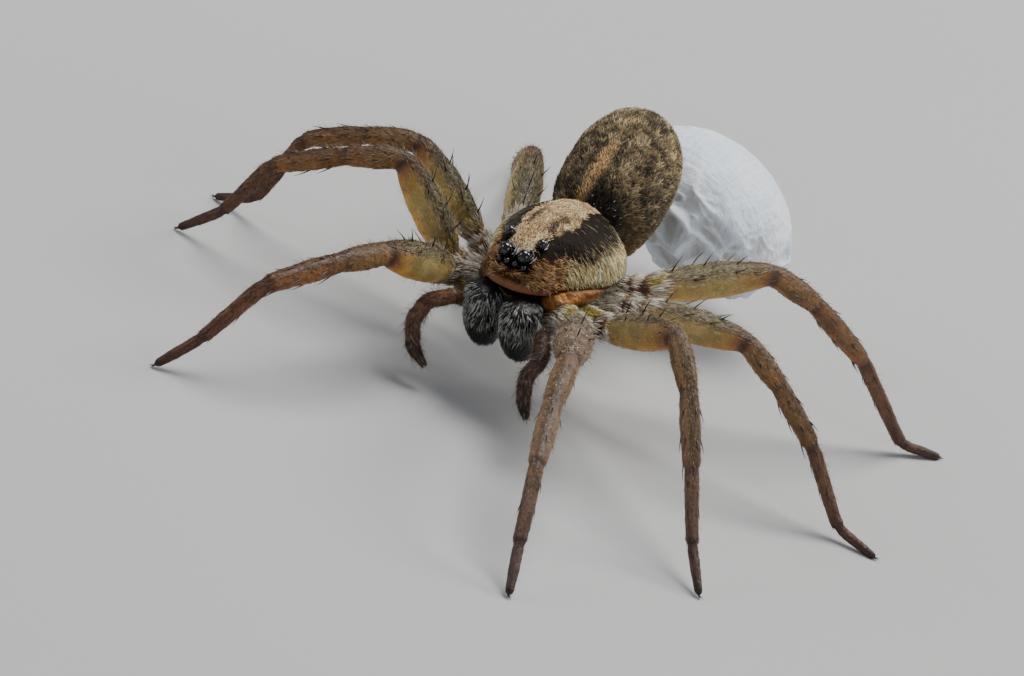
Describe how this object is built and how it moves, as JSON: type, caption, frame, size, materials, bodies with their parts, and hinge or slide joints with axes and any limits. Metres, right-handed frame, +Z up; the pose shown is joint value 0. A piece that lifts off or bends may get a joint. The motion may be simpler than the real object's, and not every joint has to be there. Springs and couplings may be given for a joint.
{
  "type": "wolf spider figure",
  "caption": "Life-size still model of a female wolf spider standing with legs spread, carrying a round silk egg sac behind her abdomen.",
  "frame": {"origin": "on the floor under the middle of the bounding box; the feet stand on z = 0", "axes": "+Z up, the head points along -Y, the spider's own left side is +X"},
  "size_m": [0.0244, 0.0282, 0.0074],
  "materials": {
    "carapace": "brown cuticle, glossy dark sides under a pale fawn band of short hair",
    "sternum": "brown cuticle under short grey hair",
    "abdomen": "dense short mottled brown hair with a tawny stripe",
    "egg_sac": "layered white silk, faintly wrinkled",
    "jaw": "black-brown glossy cuticle with grey hairs",
    "fang": "dark red-brown, polished",
    "eye": "black and mirror-smooth",
    "coxa": "pale brown cuticle with pale grey hair",
    "femur": "translucent olive-amber cuticle, grey hair above",
    "patella_tibia": "brown cuticle with short hair and dark spines",
    "metatarsus": "red-brown cuticle with short hair",
    "tarsus": "dark red-brown, densely haired",
    "palp": "brown cuticle with short hair"
  },
  "bodies": {
    "root": {"abdomen": "abdomen", "carapace": "carapace", "chelicera_left": "jaw", "chelicera_right": "jaw", "egg_sac": "egg_sac", "eye_front_middle_left": "eye", "eye_front_middle_right": "eye", "eye_front_side_left": "eye", "eye_front_side_right": "eye", "eye_rear_middle_left": "eye", "eye_rear_middle_right": "eye", "eye_rear_side_left": "eye", "eye_rear_side_right": "eye", "fang_left": "fang", "fang_right": "fang", "leg_left_1_coxa": "coxa", "leg_left_1_femur": "femur", "leg_left_1_metatarsus": "metatarsus", "leg_left_1_patella_tibia": "patella_tibia", "leg_left_1_tarsus": "tarsus", "leg_left_2_coxa": "coxa", "leg_left_2_femur": "femur", "leg_left_2_metatarsus": "metatarsus", "leg_left_2_patella_tibia": "patella_tibia", "leg_left_2_tarsus": "tarsus", "leg_left_3_coxa": "coxa", "leg_left_3_femur": "femur", "leg_left_3_metatarsus": "metatarsus", "leg_left_3_patella_tibia": "patella_tibia", "leg_left_3_tarsus": "tarsus", "leg_left_4_coxa": "coxa", "leg_left_4_femur": "femur", "leg_left_4_metatarsus": "metatarsus", "leg_left_4_patella_tibia": "patella_tibia", "leg_left_4_tarsus": "tarsus", "leg_right_1_coxa": "coxa", "leg_right_1_femur": "femur", "leg_right_1_metatarsus": "metatarsus", "leg_right_1_patella_tibia": "patella_tibia", "leg_right_1_tarsus": "tarsus", "leg_right_2_coxa": "coxa", "leg_right_2_femur": "femur", "leg_right_2_metatarsus": "metatarsus", "leg_right_2_patella_tibia": "patella_tibia", "leg_right_2_tarsus": "tarsus", "leg_right_3_coxa": "coxa", "leg_right_3_femur": "femur", "leg_right_3_metatarsus": "metatarsus", "leg_right_3_patella_tibia": "patella_tibia", "leg_right_3_tarsus": "tarsus", "leg_right_4_coxa": "coxa", "leg_right_4_femur": "femur", "leg_right_4_metatarsus": "metatarsus", "leg_right_4_patella_tibia": "patella_tibia", "leg_right_4_tarsus": "tarsus", "palp_left_femur": "palp", "palp_left_tarsus": "palp", "palp_right_femur": "palp", "palp_right_tarsus": "palp", "sternum": "sternum"}
  },
  "joints": []
}
